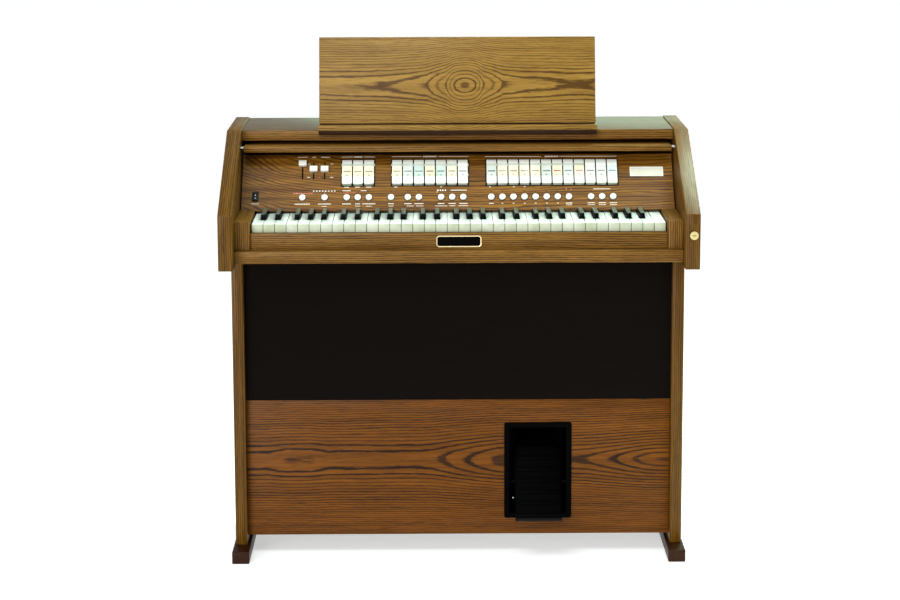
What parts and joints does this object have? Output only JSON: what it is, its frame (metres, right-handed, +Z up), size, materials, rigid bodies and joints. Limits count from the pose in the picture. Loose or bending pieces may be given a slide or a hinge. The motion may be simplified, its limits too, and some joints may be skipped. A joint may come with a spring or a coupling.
{
  "type": "electronic organ",
  "caption": "Oak cased electronic spinet organ with one manual, a sliding lid, a sloping panel of stop tabs and pistons, a music desk and a swell pedal.",
  "frame": {"origin": "on the floor below the middle of the case", "axes": "+Z up, +X to the player's right, +Y away from the player, towards the back board"},
  "size_m": [0.9736, 0.498, 1.1215],
  "materials": {
    "oak": "satin lacquered oak veneer",
    "dark_oak": "dark stained oak",
    "particle_board": "bare pressed board",
    "grille_cloth": "open woven speaker cloth",
    "white_plastic": "polished",
    "black_plastic": "glossy",
    "rubber": "ribbed",
    "steel": "plain",
    "brass": "polished",
    "cream_plate": "matt",
    "circuit_board": "solder mask",
    "transformer_iron": "varnished laminations"
  },
  "bodies": {
    "cabinet": {"back_board": "particle_board", "bed_rail": "oak", "control_panel": "oak", "grille_cloth": "grille_cloth", "key_bed": "particle_board", "key_frame": "steel", "key_slip": "oak", "knee_panel": "oak", "left_cheek": "oak", "left_foot": "dark_oak", "left_key_block": "oak", "left_side_panel": "oak", "left_speaker": "transformer_iron", "mains_inlet": "black_plastic", "mains_transformer": "transformer_iron", "music_desk_batten": "dark_oak", "music_desk_board": "oak", "music_desk_ledge": "oak", "panel_plate": "cream_plate", "pedal_axle": "steel", "pedal_well": "black_plastic", "power_amplifier": "steel", "right_cheek": "oak", "right_foot": "dark_oak", "right_key_block": "oak", "right_side_panel": "oak", "right_speaker": "transformer_iron", "slip_plate": "black_plastic", "speaker_baffle": "particle_board", "tone_board": "circuit_board", "top_panel": "oak"},
    "lid_carrier": {"lid_rod": "steel"},
    "lid": {"lid": "oak"},
    "naturals_1": {"naturals_1": "white_plastic"},
    "sharps_1": {"sharps_1": "black_plastic"},
    "naturals_2": {"naturals_2": "white_plastic"},
    "sharps_2": {"sharps_2": "black_plastic"},
    "naturals_3": {"naturals_3": "white_plastic"},
    "sharps_3": {"sharps_3": "black_plastic"},
    "naturals_4": {"naturals_4": "white_plastic"},
    "sharps_4": {"sharps_4": "black_plastic"},
    "naturals_5": {"naturals_5": "white_plastic"},
    "sharps_5": {"sharps_5": "black_plastic"},
    "top_natural": {"top_natural": "white_plastic"},
    "low_tabs": {"low_tabs": "white_plastic"},
    "middle_tabs": {"middle_tabs": "white_plastic"},
    "high_tabs": {"high_tabs": "white_plastic"},
    "pistons_a": {"pistons_a": "white_plastic"},
    "pistons_b": {"pistons_b": "white_plastic"},
    "pistons_c": {"pistons_c": "white_plastic"},
    "pistons_d": {"pistons_d": "white_plastic"},
    "pistons_e": {"pistons_e": "white_plastic"},
    "pistons_f": {"pistons_f": "white_plastic"},
    "pistons_g": {"pistons_g": "white_plastic"},
    "slider_1": {"slider_1": "white_plastic"},
    "slider_2": {"slider_2": "white_plastic"},
    "slider_3": {"slider_3": "white_plastic"},
    "power_rocker": {"power_rocker": "black_plastic"},
    "pedal": {"pedal_tread": "rubber"},
    "lock_barrel": {"lock_barrel": "brass"}
  },
  "joints": [
    {"name": "lid_slide", "type": "slide", "parent": "cabinet", "child": "lid_carrier", "axis": [0, -1, 0], "range_m": [0, 0.231]},
    {"name": "lid_tilt", "type": "hinge", "parent": "lid_carrier", "child": "lid", "pos_m": [0, 0.1975, 0.892], "axis": [1, 0, 0], "range_deg": [0, 33.1]},
    {"name": "naturals_1_press", "type": "hinge", "parent": "cabinet", "child": "naturals_1", "pos_m": [-0.34075, 0.028, 0.745], "axis": [1, 0, 0], "range_deg": [0, 2.7], "stiffness_Nm_per_rad": 3, "springref_deg": -14.32},
    {"name": "sharps_1_press", "type": "hinge", "parent": "cabinet", "child": "sharps_1", "pos_m": [-0.34025, 0.009, 0.735], "axis": [1, 0, 0], "range_deg": [0, 2.7], "stiffness_Nm_per_rad": 2, "springref_deg": -14.32},
    {"name": "naturals_2_press", "type": "hinge", "parent": "cabinet", "child": "naturals_2", "pos_m": [-0.17625, 0.028, 0.745], "axis": [1, 0, 0], "range_deg": [0, 2.7], "stiffness_Nm_per_rad": 3, "springref_deg": -14.32},
    {"name": "sharps_2_press", "type": "hinge", "parent": "cabinet", "child": "sharps_2", "pos_m": [-0.17575, 0.009, 0.735], "axis": [1, 0, 0], "range_deg": [0, 2.7], "stiffness_Nm_per_rad": 2, "springref_deg": -14.32},
    {"name": "naturals_3_press", "type": "hinge", "parent": "cabinet", "child": "naturals_3", "pos_m": [-0.01175, 0.028, 0.745], "axis": [1, 0, 0], "range_deg": [0, 2.7], "stiffness_Nm_per_rad": 3, "springref_deg": -14.32},
    {"name": "sharps_3_press", "type": "hinge", "parent": "cabinet", "child": "sharps_3", "pos_m": [-0.01125, 0.009, 0.735], "axis": [1, 0, 0], "range_deg": [0, 2.7], "stiffness_Nm_per_rad": 2, "springref_deg": -14.32},
    {"name": "naturals_4_press", "type": "hinge", "parent": "cabinet", "child": "naturals_4", "pos_m": [0.15275, 0.028, 0.745], "axis": [1, 0, 0], "range_deg": [0, 2.7], "stiffness_Nm_per_rad": 3, "springref_deg": -14.32},
    {"name": "sharps_4_press", "type": "hinge", "parent": "cabinet", "child": "sharps_4", "pos_m": [0.15325, 0.009, 0.735], "axis": [1, 0, 0], "range_deg": [0, 2.7], "stiffness_Nm_per_rad": 2, "springref_deg": -14.32},
    {"name": "naturals_5_press", "type": "hinge", "parent": "cabinet", "child": "naturals_5", "pos_m": [0.31725, 0.028, 0.745], "axis": [1, 0, 0], "range_deg": [0, 2.7], "stiffness_Nm_per_rad": 3, "springref_deg": -14.32},
    {"name": "sharps_5_press", "type": "hinge", "parent": "cabinet", "child": "sharps_5", "pos_m": [0.31775, 0.009, 0.735], "axis": [1, 0, 0], "range_deg": [0, 2.7], "stiffness_Nm_per_rad": 2, "springref_deg": -14.32},
    {"name": "top_natural_press", "type": "hinge", "parent": "cabinet", "child": "top_natural", "pos_m": [0.41125, 0.028, 0.745], "axis": [1, 0, 0], "range_deg": [0, 2.7], "stiffness_Nm_per_rad": 0.5, "springref_deg": -14.32},
    {"name": "low_tabs_tip", "type": "hinge", "parent": "cabinet", "child": "low_tabs", "pos_m": [-0.2107, 0.01254, 0.83355], "axis": [1, 0, 0], "range_deg": [0, 10]},
    {"name": "middle_tabs_tip", "type": "hinge", "parent": "cabinet", "child": "middle_tabs", "pos_m": [-0.0588, 0.01254, 0.83355], "axis": [1, 0, 0], "range_deg": [0, 10]},
    {"name": "high_tabs_tip", "type": "hinge", "parent": "cabinet", "child": "high_tabs", "pos_m": [0.199, 0.01254, 0.83355], "axis": [1, 0, 0], "range_deg": [0, 10]},
    {"name": "pistons_a_press", "type": "slide", "parent": "cabinet", "child": "pistons_a", "axis": [0, 0.7682, -0.6402], "range_m": [0, 0.0025], "stiffness_N_per_m": 300, "springref_m": -0.004},
    {"name": "pistons_b_press", "type": "slide", "parent": "cabinet", "child": "pistons_b", "axis": [0, 0.7682, -0.6402], "range_m": [0, 0.0025], "stiffness_N_per_m": 300, "springref_m": -0.004},
    {"name": "pistons_c_press", "type": "slide", "parent": "cabinet", "child": "pistons_c", "axis": [0, 0.7682, -0.6402], "range_m": [0, 0.0025], "stiffness_N_per_m": 300, "springref_m": -0.004},
    {"name": "pistons_d_press", "type": "slide", "parent": "cabinet", "child": "pistons_d", "axis": [0, 0.7682, -0.6402], "range_m": [0, 0.0025], "stiffness_N_per_m": 300, "springref_m": -0.004},
    {"name": "pistons_e_press", "type": "slide", "parent": "cabinet", "child": "pistons_e", "axis": [0, 0.7682, -0.6402], "range_m": [0, 0.0025], "stiffness_N_per_m": 300, "springref_m": -0.004},
    {"name": "pistons_f_press", "type": "slide", "parent": "cabinet", "child": "pistons_f", "axis": [0, 0.7682, -0.6402], "range_m": [0, 0.0025], "stiffness_N_per_m": 300, "springref_m": -0.004},
    {"name": "pistons_g_press", "type": "slide", "parent": "cabinet", "child": "pistons_g", "axis": [0, 0.7682, -0.6402], "range_m": [0, 0.0025], "stiffness_N_per_m": 300, "springref_m": -0.004},
    {"name": "slider_1_move", "type": "slide", "parent": "cabinet", "child": "slider_1", "axis": [0, 0.6402, 0.7682], "range_m": [-0.0337, 0.0029]},
    {"name": "slider_2_move", "type": "slide", "parent": "cabinet", "child": "slider_2", "axis": [0, 0.6402, 0.7682], "range_m": [-0.0199, 0.0167]},
    {"name": "slider_3_move", "type": "slide", "parent": "cabinet", "child": "slider_3", "axis": [0, 0.6402, 0.7682], "range_m": [-0.0199, 0.0167]},
    {"name": "power_rocker_tip", "type": "hinge", "parent": "cabinet", "child": "power_rocker", "pos_m": [-0.4259, -0.02785, 0.79133], "axis": [1, 0, 0], "range_deg": [0, 13]},
    {"name": "pedal_tilt", "type": "hinge", "parent": "cabinet", "child": "pedal", "pos_m": [0.1718, 0.04046, 0.15252], "axis": [-1, 0, 0], "range_deg": [0, 25]},
    {"name": "lock_turn", "type": "hinge", "parent": "cabinet", "child": "lock_barrel", "pos_m": [0.4741, -0.2468, 0.745], "axis": [0, 1, 0], "range_deg": [0, 90]}
  ],
  "couplings": [
    {"joint": "lid_tilt", "follows": "lid_slide", "rad_per_m": 2.4933}
  ]
}
